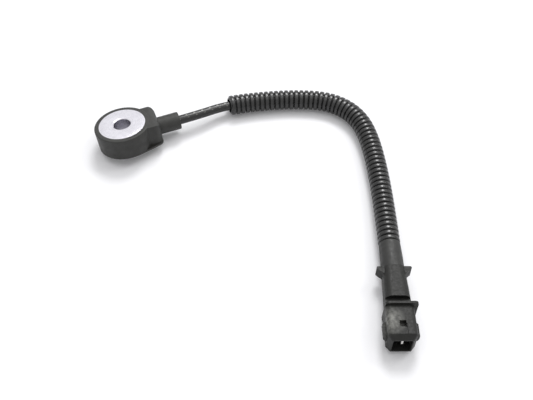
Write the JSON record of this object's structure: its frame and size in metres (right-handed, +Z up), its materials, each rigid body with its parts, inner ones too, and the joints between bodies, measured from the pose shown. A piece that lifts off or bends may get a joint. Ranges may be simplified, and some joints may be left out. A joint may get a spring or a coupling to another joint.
{
  "type": "engine knock sensor",
  "caption": "Ring-shaped engine knock sensor with a moulded body, a shielded lead in corrugated conduit and an in-line blade connector, lying on a table.",
  "frame": {"origin": "on the table, under the middle of the sensing head's box", "axes": "+Z up from the table; +X along the lead's boss seen from above; +Y away from the side that the connector lies on"},
  "size_m": [0.1337, 0.1649, 0.0169],
  "materials": {
    "sleeve_steel": "zinc-plated turned steel, pale with a faint violet cast",
    "body_plastic": "glass-filled moulded plastic, dark grey-black, matte with a fine grain",
    "polymer_film": "amber insulating film",
    "contact_brass": "stamped brass, tinned tab",
    "piezo_ceramic": "sintered piezo ceramic with silvered faces",
    "mass_steel": "turned sintered steel, oiled",
    "spring_steel": "hardened spring steel, blued",
    "wire_jacket": "thin red wire insulation",
    "wire_jacket_dark": "thin blue wire insulation",
    "drain_copper": "tinned copper strand",
    "cable_sheath": "extruded black sheath, glossy",
    "conduit_nylon": "corrugated black nylon, semi-gloss",
    "boot_rubber": "black moulded rubber",
    "seal_rubber": "silicone rubber ring",
    "connector_plastic": "moulded black nylon, semi-gloss",
    "blade_tin": "tin-plated brass blade"
  },
  "bodies": {
    "root": {"head_housing": "body_plastic", "support_sleeve": "sleeve_steel", "insulating_bush": "polymer_film", "lower_insulating_washer": "polymer_film", "lower_contact_disc": "contact_brass", "piezo_ring": "piezo_ceramic", "upper_contact_disc": "contact_brass", "upper_insulating_washer": "polymer_film", "seismic_mass": "mass_steel", "disc_spring": "spring_steel", "clamp_nut": "mass_steel", "signal_wire": "wire_jacket", "return_wire": "wire_jacket_dark", "shield_drain": "drain_copper", "cable": "cable_sheath", "corrugated_conduit": "conduit_nylon", "connector_boot": "boot_rubber", "cable_seal": "seal_rubber", "connector_housing": "connector_plastic", "signal_blade": "blade_tin", "return_blade": "blade_tin", "shield_blade": "blade_tin"}
  },
  "joints": []
}
